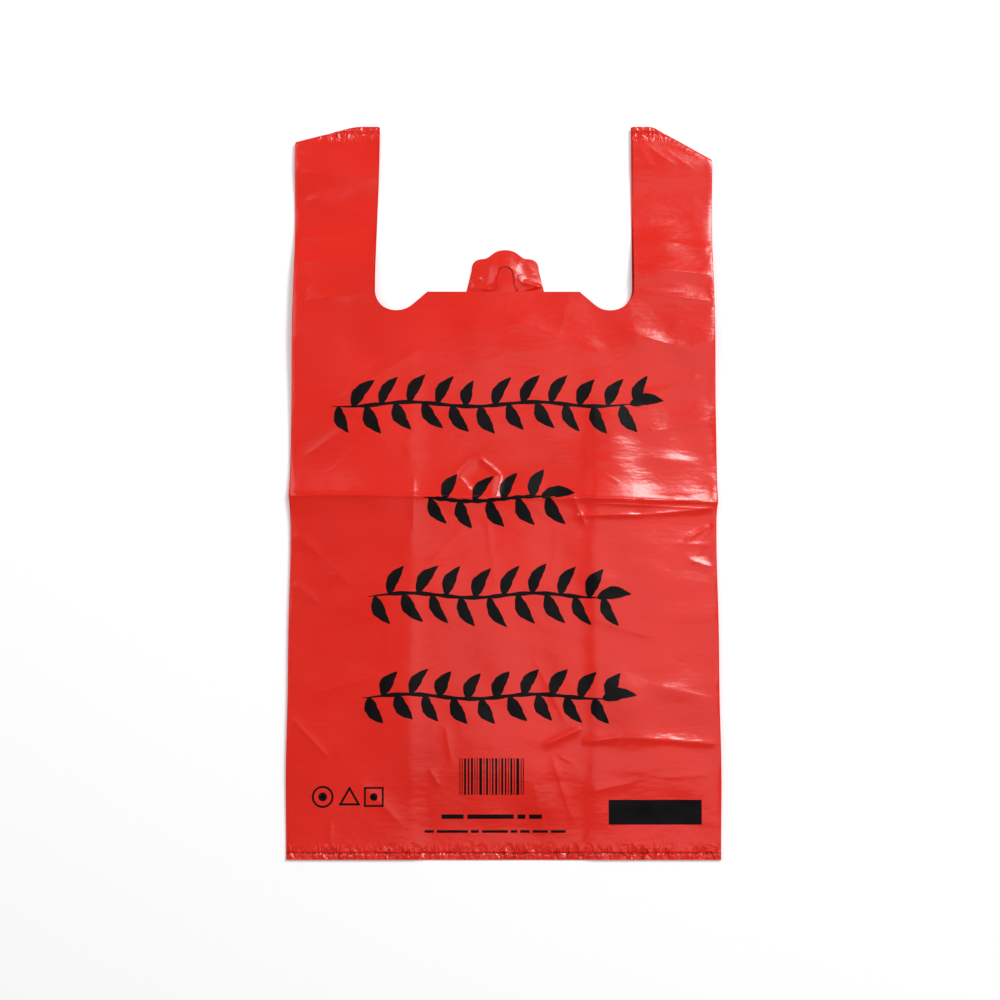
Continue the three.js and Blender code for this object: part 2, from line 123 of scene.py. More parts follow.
def fine_waves(x, y):
    """Seeded sum of slanted sine waves, 12 to 90 mm long and mostly across the bag. Each tilts the film
    by one to two hundredths of a radian, most towards the lower right."""
    random = np.random.default_rng(7)
    total = np.zeros(np.broadcast(x, y).shape)
    strength = (0.0014 + 0.0016 * smooth(x - 0.3 * y, -20, 120)) * (1 - 0.5 * smooth(y, 185, 205))
    for wavelength in np.geomspace(12, 90, 18):
        angle, phase = random.normal(np.pi / 2, 0.7), random.uniform(0, 2 * np.pi)
        step = 2 * np.pi / wavelength
        total += strength * wavelength * np.sin(step * (x * np.cos(angle) + y * np.sin(angle)) + phase)
    return total


def front_height(x, y):
    """Middle of the front panel's film before its small creases: the stack of layers, the air in the
    body, the cross crease of the half fold, the ridges over the inner gusset folds, long waves, and a
    round swell at the right of the cross crease that falls off as a squared paraboloid."""
    across = np.abs(x)
    press = pressed(y)
    loose = (1 - press) * (1 - smooth(y, mouth - 120, mouth))
    edge = 1 - smooth(across, half - 70, half)
    slope = np.clip((across - gusset_inner) / (half - gusset_inner), 0, 1)
    stack = film / 2 + 3 * layer_pitch(y) + loop_air(y)
    full = 3.5 * loose * (0.6 * edge + 0.4 * (1 - slope))
    sunk = 2 * layer_pitch(y) * press * (y < 0) * (1 - smooth(across, gusset_inner - 12, gusset_inner))
    line = -8 - 4.5 * smooth(x, -half, half) + 0.4 * np.sin(x / 9)
    reach = np.where(y > line, 27, 27 - 15 * smooth(x, -10, 80))
    crease = (2.6 - 0.6 * smooth(x, -80, 40)) * np.clip(1 - np.abs(y - line) / reach, 0, 1) ** 2
    ridge_reach = np.where(across > gusset_inner, 42, 13)
    ridge = np.where(x > 0, 1.1, 0.6) * np.clip(1 - np.abs(across - gusset_inner) / ridge_reach, 0, 1) ** 2
    ridge *= (1 - press) * (1 - smooth(y, 0, mouth))
    slant = 2 * np.pi * (x + 0.6 * y) / 170
    counter = 2 * np.pi * (0.8 * x - y) / 220
    waves = 0.45 * (np.sin(slant) + np.sin(counter)) * edge * (1 - press)
    waves *= 1 - smooth(y, mouth - 60, mouth)
    swell = 2.3 * np.clip(1 - ((x - 88) ** 2 + (y + 4) ** 2) / 62 ** 2, 0, 1) ** 2
    return stack + full - sunk + crease + ridge + waves + swell


def weld_puckers(x, y):
    """Seeded sum of sine waves along the weld, 2.6 to 9 mm long, raised to separate blisters by a power.
    Each is the arch of a sine across the hem outside the weld line, and a longer arch inside it."""
    random = np.random.default_rng(11)
    total = np.zeros(np.broadcast(x, y).shape)
    for wavelength in np.geomspace(2.6, 9, 8):
        slant, phase = random.normal(0, 0.35), random.uniform(0, 2 * np.pi)
        total += np.sin(2 * np.pi * (x + slant * y) / wavelength + phase)
    beyond = np.maximum(bottom + hem - y, y - top + handle_hem)
    outside = np.sin(np.pi * np.clip(beyond / hem, 0, 1))
    within = 0.7 * np.sin(np.pi * np.clip(-beyond / 8, 0, 1))
    patchy = 0.55 + 0.45 * np.sin(x / 23 + 1) * np.sin(x / 9.5)
    strength = np.where(y > 0, 0.4, 0.75 + 0.35 * smooth(x, -60, 120))
    return 1.35 * np.clip(total / 4.5, 0, 1) ** 1.1 * (outside + within) * patchy * strength


def small_relief(x, y):
    """What is added to the front panel: the small creases, the fine waves, and at each weld a pressed
    groove with its puckers."""
    beyond = np.maximum(bottom + hem - y, y - top + handle_hem)
    groove = -0.3 * np.clip(1 - np.abs(beyond) / 1.2, 0, 1)
    border = smooth(half - np.abs(x), 0, 6)
    free = 1 - 0.7 * smooth(np.abs(y), 228, 250)
    lines = line_relief(x, y, panel_creases) + line_relief(x, y, handle_creases)
    return groove + weld_puckers(x, y) * border + (1.4 * lines + fine_waves(x, y)) * border * free


def bow(x, low, high, reach, count):
    """Half turn of a fold from low to high, bulging towards +X where reach is 1 and -X where it is -1."""
    angle = np.linspace(-np.pi / 2, np.pi / 2, count)
    radius = (high - low) / 2
    return x + reach * radius * np.cos(angle), (low + high) / 2 + radius * np.sin(angle)


def flat_leaf(start, end, height, stations):
    """A flat leaf of film between two folds at the given shares of its width, without its ends."""
    return start + (end - start) * stations, height + 0 * stations


def inside(count):
    """Evenly spaced shares between 0 and 1, without either end."""
    return np.linspace(0, 1, count + 2)[1:-1]


# Stations along the bag, closest where it is welded, creased and cut
rows = np.concatenate([
    np.linspace(bottom, bottom + 16, 14, endpoint=False),
    np.linspace(bottom + 16, -32, 56, endpoint=False),
    np.linspace(-32, 6, 24, endpoint=False),
    np.linspace(6, mouth - 18, 30, endpoint=False),
    np.linspace(mouth - 18, mouth + 34, 20, endpoint=False),
    np.linspace(mouth + 34, closed_top - 31, 9, endpoint=False),
    np.linspace(closed_top - 31, top, 30),
])[:, None]
rear = film / 2 + 0 * rows
lower = rear + layer_pitch(rows)
upper = lower + layer_pitch(rows) + loop_air(rows)
edge = half - 0.15 - layer_pitch(rows) / 2
inner = gusset_inner + (upper - lower) / 2


def side_of_tube(side):
    """One gusset from the rear edge round to the front edge: fold, leaf, fold, leaf, fold."""
    front_edge = front_height(side * edge, rows)
    parts = [
        bow(edge, rear, lower, 1, 5),
        flat_leaf(edge, inner, lower, inside(4)),
        bow(inner, lower, upper, -1, 6),
        flat_leaf(inner, edge, upper, inside(4)),
        bow(edge, upper, front_edge, 1, 6),
    ]
    x = np.concatenate([np.broadcast_to(p[0], (len(rows), p[0].shape[1])) for p in parts], axis=1)
    z = np.concatenate([np.broadcast_to(p[1], (len(rows), p[1].shape[1])) for p in parts], axis=1)
    return side * x, z


# The ring of the tube at every station: right gusset, front panel, left gusset, rear panel. The film's
# two skins lie half its thickness to either side, along the normal.
right_x, right_z = side_of_tube(1)
left_x, left_z = side_of_tube(-1)
panel_x = edge * (1 - 2 * inside(96))
panel_z = front_height(panel_x, rows)
rear_stations = np.concatenate([inside(3) * 0.39, 0.39 + inside(15) * 0.22, 0.61 + inside(3) * 0.39])
rear_x, rear_z = flat_leaf(-edge, edge, rear, rear_stations)
ring_x = np.concatenate([right_x, panel_x, left_x[:, ::-1], rear_x], axis=1)
ring_z = np.concatenate([right_z, panel_z, left_z[:, ::-1], rear_z], axis=1)
ring_y = np.broadcast_to(rows, ring_x.shape)
middle = np.stack([ring_x, ring_y, ring_z], axis=-1)
round_tube = np.roll(middle, -1, axis=1) - np.roll(middle, 1, axis=1)
along_tube = np.gradient(middle, axis=0)
normal = np.cross(along_tube, round_tube)
normal /= np.linalg.norm(normal, axis=-1, keepdims=True)
skins = np.stack([middle + normal * film / 2, middle - normal * film / 2])

count_rows, count_ring = ring_x.shape
index = np.arange(2 * count_rows * count_ring).reshape(2, count_rows, count_ring)
nextk = np.roll(index, -1, axis=2)
outer_faces = np.stack([index[0, :-1], index[0, 1:], nextk[0, 1:], nextk[0, :-1]], axis=-1)
inner_faces = np.stack([index[1, :-1], nextk[1, :-1], nextk[1, 1:], index[1, 1:]], axis=-1)
first_rim = np.stack([index[0, 0], nextk[0, 0], nextk[1, 0], index[1, 0]], axis=-1)
last_rim = np.stack([index[0, -1], index[1, -1], nextk[1, -1], nextk[0, -1]], axis=-1)
faces = np.concatenate([f.reshape(-1, 4) for f in (outer_faces, inner_faces, first_rim, last_rim)])


def fill_mesh(name, points, faces):
    """A mesh object from an array of points in millimetres and an array of four-cornered faces."""
    mesh = bpy.data.meshes.new(name)
    mesh.vertices.add(len(points))
    mesh.vertices.foreach_set("co", (points * 0.001).astype(np.float32).ravel())
    mesh.loops.add(faces.size)
    mesh.loops.foreach_set("vertex_index", faces.astype(np.int32).ravel())
    mesh.polygons.add(len(faces))
    starts = np.arange(0, faces.size, faces.shape[1], dtype=np.int32)
    mesh.polygons.foreach_set("loop_start", starts)
    mesh.update(calc_edges=True)
    mesh.validate()
    piece = bpy.data.objects.new(name, mesh)
    bpy.context.scene.collection.objects.link(piece)
    return piece


bag_film = fill_mesh("bag_film", skins.reshape(-1, 3), faces)


def turn(x, y, radius, start, end, count):
    """Points on an arc, from one angle in degrees to another."""
    angle = np.radians(np.linspace(start, end, count))
    return np.stack([x + radius * np.cos(angle), y + radius * np.sin(angle)], axis=-1)


def bezier(*corners, count=10):
    """A Bezier curve by repeated straight blends of its corner points, without its first point."""
    t = np.linspace(0, 1, count + 1)[1:, None]
    level = [np.array(c, float) + 0 * t for c in corners]
    while len(level) > 1:
        level = [a + (b - a) * t for a, b in zip(level, level[1:])]
    return level[0]


def punch_outline(ledge, with_tab):
    """The waste of the punch: down each handle, round a throat, up a slant and along the mouth. ledge
    is how far this layer shows past the one above it."""
    inner_x, radius = handle_inner - ledge, throat_radius - ledge
    throat_x = handle_inner - throat_radius
    angle = np.radians(41)
    edge_y = mouth + ledge * 0.6
    slant = edge_y - (throat - radius * np.cos(angle))
    mouth_half = throat_x - radius * np.sin(angle) - slant / np.tan(angle)
    left = np.concatenate([
        [[-inner_x, top + 60]],
        turn(-throat_x, throat, radius, 180, 311, 30),
        [[-mouth_half, edge_y]],
    ])
    right = left[::-1] * [-1, 1]
    if not with_tab:
        return np.concatenate([left, right])
    flat, crown = mouth + 25.5, mouth + 32
    half_tab = np.concatenate([
        [[-28, edge_y], [-24, flat - 8]],
        bezier((-24, flat - 8), (-24, flat), (-16, flat)),
        bezier((-16, flat), (-10, flat), (-10, crown), (0, crown)),
    ])
    tab = np.concatenate([half_tab, half_tab[-2::-1] * [-1, 1]]) + [tab_middle, 0]
    return np.concatenate([left, tab, right])


def slit_outline():
    """The slit that frees the tongue of the tab, an upturned U 0.3 mm wide with splayed legs."""
    outside = turn(tab_middle, spring, 5.9, 0, 180, 20)
    within = turn(tab_middle, spring, 5.6, 180, 0, 20)
    wide, narrow, foot = 8.0, 7.7, mouth - 1
    return np.concatenate([
        [[tab_middle + wide, foot]], outside,
        [[tab_middle - wide, foot], [tab_middle - narrow, foot]], within,
        [[tab_middle + narrow, foot]],
    ])


def cut_out(piece, outline, low, high):
    """Takes an upright prism of an outline out of a piece."""
    count = len(outline)
    walls = [np.column_stack([outline, np.full(count, z)]) for z in (low, high)]
    mesh = bpy.data.meshes.new("waste")
    sides = [(k, (k + 1) % count, count + (k + 1) % count, count + k) for k in range(count)]
    ends = [list(range(count))[::-1], list(range(count, 2 * count))]
    mesh.from_pydata((np.concatenate(walls) * 0.001).tolist(), [], sides + ends)
    waste = bpy.data.objects.new("waste", mesh)
    bpy.context.scene.collection.objects.link(waste)
    shaped = bmesh.new()
    shaped.from_mesh(mesh)
    bmesh.ops.recalc_face_normals(shaped, faces=shaped.faces)
    shaped.to_mesh(mesh)
    shaped.free()
    cut = piece.modifiers.new("cut", "BOOLEAN")
    cut.operation = "DIFFERENCE"
    cut.solver = "MANIFOLD"
    cut.object = waste
    ready = piece.evaluated_get(bpy.context.evaluated_depsgraph_get())
    result = bpy.data.meshes.new_from_object(ready)
    piece.modifiers.clear()
    old = piece.data
    piece.data = result
    bpy.data.meshes.remove(old)
    bpy.data.objects.remove(waste)
    bpy.data.meshes.remove(mesh)


# The rear panel, which lies under the height of the split, keeps the tab and a ledge that shows at the
# mouth. The other two heights are clear of the film.
split, below, above = 0.55, -20, 60
cut_out(bag_film, punch_outline(0, False), split, above)
cut_out(bag_film, punch_outline(1.1, True), below, split)
cut_out(bag_film, slit_outline(), below, split)
for pin_x, pin_y in pins:
    cut_out(bag_film, turn(pin_x, pin_y, pin_radius, 0, 330, 12), below, split)

# Folds in the tab: a ridge beside the tongue, a deep fold at its right foot, a bulge at its left foot,
# and creases beside the pins
tab_creases = [
    (12, 164, 9.5, 153, 0.2, 5), (10, 147, 27, 142.5, 1.5, 5), (14, 140, 28, 144, 0.6, 2.5),
    (-23, 143, -9, 141, 0.9, 7), (-19, 160, -6, 165, 0.35, 6), (-24, 151, -14, 148, 0.4, 2.5),
    (11.8, 150.5, 22, 151.5, 0.25, 2.5), (16, 160, 24, 150, 0.2, 6),
]


def near_lines(x, y, lines, share, most):
    """True within a share of the reach of any of these creases, and not further than most."""
    return np.any([
        line_relief(x, y, [line[:4] + (1, min(line[5] * share, most))]) > 0 for line in lines], axis=0)


def refine(mesh, chosen):
    """Halves every edge whose middle is chosen, so that the film is finer where it is creased."""
    shaped = bmesh.new()
    shaped.from_mesh(mesh)
    ends = np.array([v.co for e in shaped.edges for v in e.verts]).reshape(-1, 2, 3)
    picked = chosen(ends.mean(axis=1) * 1000)
    edges = [edge for edge, pick in zip(shaped.edges, picked) if pick]
    bmesh.ops.subdivide_edges(shaped, edges=edges, cuts=1, use_grid_fill=True)
    shaped.to_mesh(mesh)
    shaped.free()


def on_panel(points):
    """True for points of the front panel, both of its faces."""
    return np.abs(points[:, 2] - front_height(points[:, 0], points[:, 1])) < film * 0.8


def on_outside(points):
    """True for points of the front panel's outer face."""
    return on_panel(points) & (points[:, 2] > front_height(points[:, 0], points[:, 1]))


def on_tab(points):
    """True for points of the rear panel's tab."""
    x, y, z = points.T
    return (z < split) & (np.abs(x - tab_middle) < 29.5) & (y > mouth - 1)


# Twice finer on the tab, along the creases and at the welds
for share, most, hem_rows in ((0.8, 6, 9), (0.5, 2.2, 8)):
    refine(bag_film.data, lambda p: on_tab(p) | (on_outside(p) & (
        near_lines(p[:, 0], p[:, 1], panel_creases + handle_creases, share, most)
        | (p[:, 1] < bottom + hem_rows) | (p[:, 1] > top - hem_rows))))


def lay(points):
    """Moves the punched film to how it lies: the front panel takes its creases, the tab bulges and its
    tongue lies sunk behind the lip of its slit, the handle tops rise on their folded corners, the left
    handle leans in, and the long edges wander a little."""
    x, y, z = points[:, 0].copy(), points[:, 1].copy(), points[:, 2].copy()
    z += on_panel(points) * small_relief(x, y)
    tab = on_tab(points)
    # The tab bulges as a dome, and the tongue between the legs and under the crown of the slit sinks
    out = smooth(y, mouth, mouth + 10)
    dome = 1.2 * np.clip(1 - ((x - tab_middle) / 27) ** 2, 0, 1) * out
    free_foot = smooth(y, mouth - 1, mouth + 6)
    legs = 5.7 + 2.2 * np.clip((spring - y) / (spring - mouth), 0, 1)
    across = np.clip((x - tab_middle) / legs, -1, 1)
    crown = spring + 5.75 * np.sqrt(1 - across ** 2) + 0.02
    tongue = (np.abs(x - tab_middle) < legs) & (y < crown)
    sunk = 0.35 * dome + 0.55 * (1 - (across - 0.3) ** 2 / 1.7) * free_foot
    # Outside the slit the film rises to a lip, which falls off as a bell with the distance from it
    off_slit = np.hypot(x - tab_middle, np.maximum(y - spring, 0)) - legs
    lip = 1.15 * np.exp(-(np.maximum(off_slit, 0) / 4.8) ** 2) * free_foot
    relief = line_relief(x, y, tab_creases) * smooth(y, mouth - 1, mouth + 3)
    # Each pin has pressed up a ring round its hole
    for pin_x, pin_y in pins:
        off_pin = np.hypot(x - pin_x, y - pin_y)
        relief += 0.55 * np.exp(-((off_pin - 1.7) / 0.6) ** 2)
    z += tab * np.where(tongue, sunk, dome + lip + relief)
    # The edges of the tongue spread a little way under the lip
    spread = 0.45
    x += tab * tongue * spread * across * smooth(y, mouth - 1, mouth + 2)
    y += tab * tongue * spread * smooth(y, mouth + 10, mouth + 20)
    z += fold_lift * smooth(y, closed_top - 31, closed_top)
    # The left handle leans in, and two sines move the long edges in and out
    lean = 2.7 * smooth(y, 145, 250) * np.clip((x + half) / 57, 0, 1) * (x < -80)
    wander = 0.35 * np.sin(y / 37) + 0.25 * np.sin(y / 17 + 1)
    x += lean + wander * smooth(np.abs(x), 110, half) * np.sign(x)
    return np.column_stack([x, y, z])


def reshape(mesh, move):
    """Puts every point of a mesh where move says, in millimetres."""
    points = np.empty(len(mesh.vertices) * 3, np.float32)
    mesh.vertices.foreach_get("co", points)
    moved = move(points.reshape(-1, 3).astype(float) * 1000)
    mesh.vertices.foreach_set("co", (moved * 0.001).astype(np.float32).ravel())
    mesh.update()


reshape(bag_film.data, lay)


def fold_under(mesh, side, along, down):
    """Folds one handle corner under. The mesh is first cut along nine lines across the turn, so that it
    bends evenly."""
    on_top = np.array([side * (half - along), top])
    on_side = np.array([side * half, top - down])
    run = (on_side - on_top) / np.linalg.norm(on_side - on_top)
    outward = np.array([-run[1], run[0]]) * (1 if side > 0 else -1)
    outward = outward if outward @ np.array([side, 1.0]) > 0 else -outward
    # The turn's own radius, and the height of its axis, which lies just under the lifted stack
    radius, axis = 2.2, 2.3
    start = on_top - outward * radius
    corner_x, corner_y = 50, top - 60
    shaped = bmesh.new()
    shaped.from_mesh(mesh)
    for step in np.linspace(0, 1, 9):
        near = [
            v for v in shaped.verts
            if v.co.y > corner_y * 0.001 and v.co.x * side > corner_x * 0.001]
        geometry = set(near)
        for v in near:
            geometry.update(v.link_edges)
            geometry.update(v.link_faces)
        at = start + outward * step * np.pi * radius
        bmesh.ops.bisect_plane(
            shaped, geom=list(geometry), dist=1e-7,
            plane_co=(at[0] * 0.001, at[1] * 0.001, 0), plane_no=(outward[0], outward[1], 0))
    bmesh.ops.dissolve_degenerate(shaped, edges=shaped.edges, dist=2e-6)
    shaped.to_mesh(mesh)
    shaped.free()

    def bend(points):
        """A point past the line goes round the axis by its distance over the radius, and past half a turn
        it runs back flat underneath."""
        beyond = (points[:, :2] - start) @ outward
        mine = (beyond > 0) & (points[:, 0] * side > corner_x) & (points[:, 1] > corner_y)
        angle = np.clip(beyond / radius, 0, np.pi)
        reach = points[:, 2] - axis
        flat = np.maximum(beyond - np.pi * radius, 0)
        new_beyond = reach * np.sin(angle) - flat
        moved = points.copy()
        moved[:, :2] += outward * (new_beyond - beyond)[:, None]
        moved[:, 2] = axis + reach * np.cos(angle)
        return np.where(mine[:, None], moved, points)

    reshape(mesh, bend)


fold_under(bag_film.data, **left_fold)
fold_under(bag_film.data, **right_fold)
sharp_from = np.radians(38)
bag_film.data.shade_smooth()
bag_film.data.set_sharp_from_angle(angle=sharp_from)


def noise(scale, detail, stretch=(1, 1, 1), distortion=0.0):
    """A cloud of noise in the film's own place, with its scale per metre, stretched along an axis."""
    mapping = nodes.new("ShaderNodeMapping")
    mapping.inputs["Scale"].default_value = stretch
    texture = nodes.new("ShaderNodeTexNoise")
    texture.inputs["Scale"].default_value = scale
    texture.inputs["Detail"].default_value = detail
    texture.inputs["Distortion"].default_value = distortion
    links.new(place.outputs["Object"], mapping.inputs["Vector"])
    links.new(mapping.outputs["Vector"], texture.inputs["Vector"])
    return texture.outputs["Fac"]


def between(value, low, high, to_low, to_high):
    """A value carried from one range to another and held at its ends."""
    node = nodes.new("ShaderNodeMapRange")
    for socket, number in zip(("From Min", "From Max", "To Min", "To Max"), (low, high, to_low, to_high)):
        node.inputs[socket].default_value = number
    links.new(value, node.inputs["Value"])
    return node.outputs["Result"]


def reckon(operation, first, second):
    """Arithmetic on two values, either of which may be a plain number."""
    node = nodes.new("ShaderNodeMath")
    node.operation = operation
    for socket, value in zip(node.inputs, (first, second)):
        if isinstance(value, (int, float)):
            socket.default_value = value
        else:
            links.new(value, socket)
    return node.outputs[0]


# The haze of blown film, a fine noise drawn out across the bag, which the ink on the film shows too
film_haze = bpy.data.node_groups.new("film_haze", "ShaderNodeTree")
film_haze.interface.new_socket("Strength", in_out="INPUT", socket_type="NodeSocketFloat")
film_haze.interface.new_socket("Height", in_out="OUTPUT", socket_type="NodeSocketFloat")
nodes, links = film_haze.nodes, film_haze.links
place = nodes.new("ShaderNodeTexCoord")
given = nodes.new("NodeGroupInput")
put_out = nodes.new("NodeGroupOutput")
grain = reckon("MULTIPLY", noise(230, 3, (0.55, 1.4, 1)), given.outputs["Strength"])
links.new(grain, put_out.inputs["Height"])


def haze(strength):
    """The height of the haze in a material, in millimetres, which is its noise times a strength."""
    node = nodes.new("ShaderNodeGroup")
    node.node_tree = film_haze
    node.inputs["Strength"].default_value = strength
    return node.outputs["Height"]


red_film = bpy.data.materials.new("red_film")
red_film.use_nodes = True
nodes, links = red_film.node_tree.nodes, red_film.node_tree.links
shader = nodes["Principled BSDF"]
shader.inputs["IOR"].default_value = 1.51
place = nodes.new("ShaderNodeTexCoord")

# Colour: the pigment is slightly uneven, and the weld lines are a shade darker
cloud = noise(11, 3)
apart = nodes.new("ShaderNodeSeparateXYZ")
links.new(place.outputs["Object"], apart.inputs["Vector"])
from_middle = reckon("ABSOLUTE", apart.outputs["Y"], 0.0)
# Metres from the middle of the bag to both weld lines
weld_at = 0.2556
off_weld = reckon("ABSOLUTE", reckon("SUBTRACT", from_middle, weld_at), 0.0)
stitch = noise(330, 1, (1, 0.1, 1))
on_line = between(off_weld, 0.0003, 0.0008, 1, 0)
weld_line = reckon("MULTIPLY", on_line, between(stitch, 0.42, 0.55, 0.25, 1))
weld_line = reckon("MULTIPLY", weld_line, between(apart.outputs["Y"], -0.2, 0.2, 1, 0.3))
tint = nodes.new("ShaderNodeValToRGB")
tint.color_ramp.elements[0].position = 0.32
tint.color_ramp.elements[0].color = (0.77, 0.0125, 0.0035, 1)
tint.color_ramp.elements[1].position = 0.68
tint.color_ramp.elements[1].color = (0.85, 0.016, 0.0055, 1)
links.new(cloud, tint.inputs["Fac"])
shade = nodes.new("ShaderNodeMix")
shade.data_type = "RGBA"
shade.inputs["B"].default_value = (0.36, 0.006, 0.002, 1)
links.new(weld_line, shade.inputs["Factor"])
links.new(tint.outputs["Color"], shade.inputs["A"])
links.new(shade.outputs["Result"], shader.inputs["Base Color"])
links.new(between(noise(38, 2), 0.3, 0.7, 0.19, 0.265), shader.inputs["Roughness"])

# Relief, in millimetres: blown-film haze, handling creases, and puckers drawn in by the welds
cells = nodes.new("ShaderNodeTexVoronoi")
cells.feature = "DISTANCE_TO_EDGE"
cells.inputs["Scale"].default_value = 19
links.new(place.outputs["Object"], cells.inputs["Vector"])
ridge_line = between(cells.outputs["Distance"], 0.0, 0.07, 1, 0)
ridges = reckon("MULTIPLY", ridge_line, between(noise(9, 2), 0.42, 0.65, 0.0, 0.12))
near_weld = between(off_weld, 0.001, 0.0075, 1, 0)
pucker = between(noise(230, 1, (1, 0.45, 1), 0.8), 0.25, 0.75, -0.5, 0.5)
uneven = between(noise(30, 1, (1, 0.1, 1)), 0.4, 0.65, 0.9, 2.6)
uneven = reckon("MULTIPLY", uneven, between(apart.outputs["Y"], -0.2, 0.2, 1, 0.6))
drawn = reckon("MULTIPLY", reckon("MULTIPLY", pucker, near_weld), uneven)
pressed_line = reckon("MULTIPLY", between(off_weld, 0.0, 0.0012, 1, 0), -0.25)
height = reckon("ADD", reckon("ADD", haze(0.19), ridges), reckon("ADD", drawn, pressed_line))
bump = nodes.new("ShaderNodeBump")
bump.inputs["Distance"].default_value = 0.001
links.new(height, bump.inputs["Height"])
links.new(bump.outputs["Normal"], shader.inputs["Normal"])
bag_film.data.materials.clear()
bag_film.data.materials.append(red_film)
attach(bag_film, "root")
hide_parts("carrier_bag")

# The print: black ink laid on the front panel by a flexographic plate, so thin that it follows every
# crease. Four rows of brush-painted leaf sprays, then small plain marks near the bottom.
black_ink = bpy.data.materials.new("black_ink")
black_ink.use_nodes = True
nodes, links = black_ink.node_tree.nodes, black_ink.node_tree.links
shader = nodes["Principled BSDF"]
place = nodes.new("ShaderNodeTexCoord")
tint = nodes.new("ShaderNodeValToRGB")
tint.color_ramp.elements[0].position = 0.35
tint.color_ramp.elements[0].color = (0.0012, 0.0008, 0.001, 1)
tint.color_ramp.elements[1].position = 0.75
tint.color_ramp.elements[1].color = (0.006, 0.003, 0.004, 1)
shader.inputs["Specular IOR Level"].default_value = 0.12
links.new(noise(60, 4), tint.inputs["Fac"])
links.new(tint.outputs["Color"], shader.inputs["Base Color"])
links.new(between(noise(90, 3), 0.3, 0.7, 0.30, 0.46), shader.inputs["Roughness"])
bump = nodes.new("ShaderNodeBump")
bump.inputs["Distance"].default_value = 0.001
links.new(haze(0.13), bump.inputs["Height"])
links.new(bump.outputs["Normal"], shader.inputs["Normal"])


def ink(name, x, y, closed=False):
    """A thin closed layer of ink over patches whose X and Y are given on grids of patches by points
    along by points across. Its top lies 0.08 mm above the film and its underside as far inside it, with
    a border that is drawn in towards its neighbours, so that the edges slope."""
    proud, drawn_in = 0.08, 0.12
    rise = front_height(x, y) + small_relief(x, y) + film / 2
    tops = np.stack([x, y, rise + proud], axis=-1)
    unders = tops - [0, 0, 2 * proud]
    for first, second in ((0, 1), (-1, -2)):
        unders[:, :, first] += drawn_in * (unders[:, :, second] - unders[:, :, first])
        if not closed:
            unders[:, first] += drawn_in * (unders[:, second] - unders[:, first])
    points = np.stack([tops, unders])
    index = np.arange(points.size // 3).reshape(points.shape[:-1])
    if closed:
        index = np.concatenate([index, index[:, :, :1]], axis=2)
    upper, lower = index
    quads = [
        np.stack([upper[:, :-1, :-1], upper[:, :-1, 1:], upper[:, 1:, 1:], upper[:, 1:, :-1]], axis=-1),
        np.stack([lower[:, :-1, :-1], lower[:, 1:, :-1], lower[:, 1:, 1:], lower[:, :-1, 1:]], axis=-1),
    ]
    for line in (0, -1):
        borders = [(upper[:, :, line], lower[:, :, line])]
        if not closed:
            borders.append((upper[:, line], lower[:, line]))
        for over, under in borders:
            quads.append(np.stack([over[:, :-1], over[:, 1:], under[:, 1:], under[:, :-1]], axis=-1))
    piece = fill_mesh(name, points.reshape(-1, 3), np.concatenate([q.reshape(-1, 4) for q in quads]))
    shaped = bmesh.new()
    shaped.from_mesh(piece.data)
    bmesh.ops.remove_doubles(shaped, verts=shaped.verts, dist=1e-6)
    bmesh.ops.recalc_face_normals(shaped, faces=shaped.faces)
    shaped.to_mesh(piece.data)
    shaped.free()
    piece.data.shade_smooth()
    piece.data.set_sharp_from_angle(angle=sharp_from)
    piece.data.materials.append(black_ink)
    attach(piece, "root")


# The leaves of the sprays, brushed one by one to either side of a stem, with one more at its end. Each
# row gives its start, its end, its middle height and how far its leaves reach from the stem.
spray_rows = [(-121, 113, 56.5, 20), (-56, 50, -11, 19.5), (-94, 89, -78.5, 21), (-98, 92, -148.5, 18.5)]
along = np.linspace(0, 1, 25)[None, :, None]
across = np.linspace(-1, 1, 7)[None, None, :]
random = np.random.default_rng(3)
leaves = []
for start, end, centre, reach in spray_rows:
    count = int(round((end - start - 20) / 9.6))
    foot = np.linspace(start + 4, end - 20, count)
    side = np.where(np.arange(count) % 2, 1.0, -1.0)
    tilt = side * np.radians(random.normal(60, 4, count))
    size = reach / np.sin(np.abs(tilt)) * random.uniform(0.9, 1.0, count)
    breadth = random.uniform(3.6, 4.6, count)
    leaves.append(np.column_stack([foot, np.full(count, centre), tilt, size, breadth]))
    leaves.append([[end - 24, centre, np.radians(6), 24, 4.2]])
leaves = np.concatenate(leaves)
foot_x, foot_y, tilt, size, breadth = (leaves[:, k][:, None, None] for k in range(5))


def stem_wave(x):
    """The slow sine that every stem follows."""
    return 1.6 * np.sin(x / 14)


def leaf_patch():
    """A leaf runs from its foot along its tilt, bowed a little backwards. Its half breadth is a sine of
    the share of its length, fuller near the foot, with the small wobble of a brush."""
    sweep = 0.10 * size * np.sin(np.pi * along) * np.sign(tilt)
    profile = np.sin(np.pi * along ** 0.8) ** 0.9
    wobble = 1 + 0.07 * np.sin(along * 9 + foot_x) + 0.04 * np.sin(along * 23 + 2 * foot_x)
    width = across * (0.25 + breadth * profile * wobble)
    u, v = size * along, sweep + width
    x = foot_x + u * np.cos(tilt) - v * np.sin(tilt)
    y = foot_y + stem_wave(foot_x) + u * np.sin(tilt) + v * np.cos(tilt)
    return x, y


leaf_x, leaf_y = leaf_patch()
ink("leaf_print", leaf_x, leaf_y)

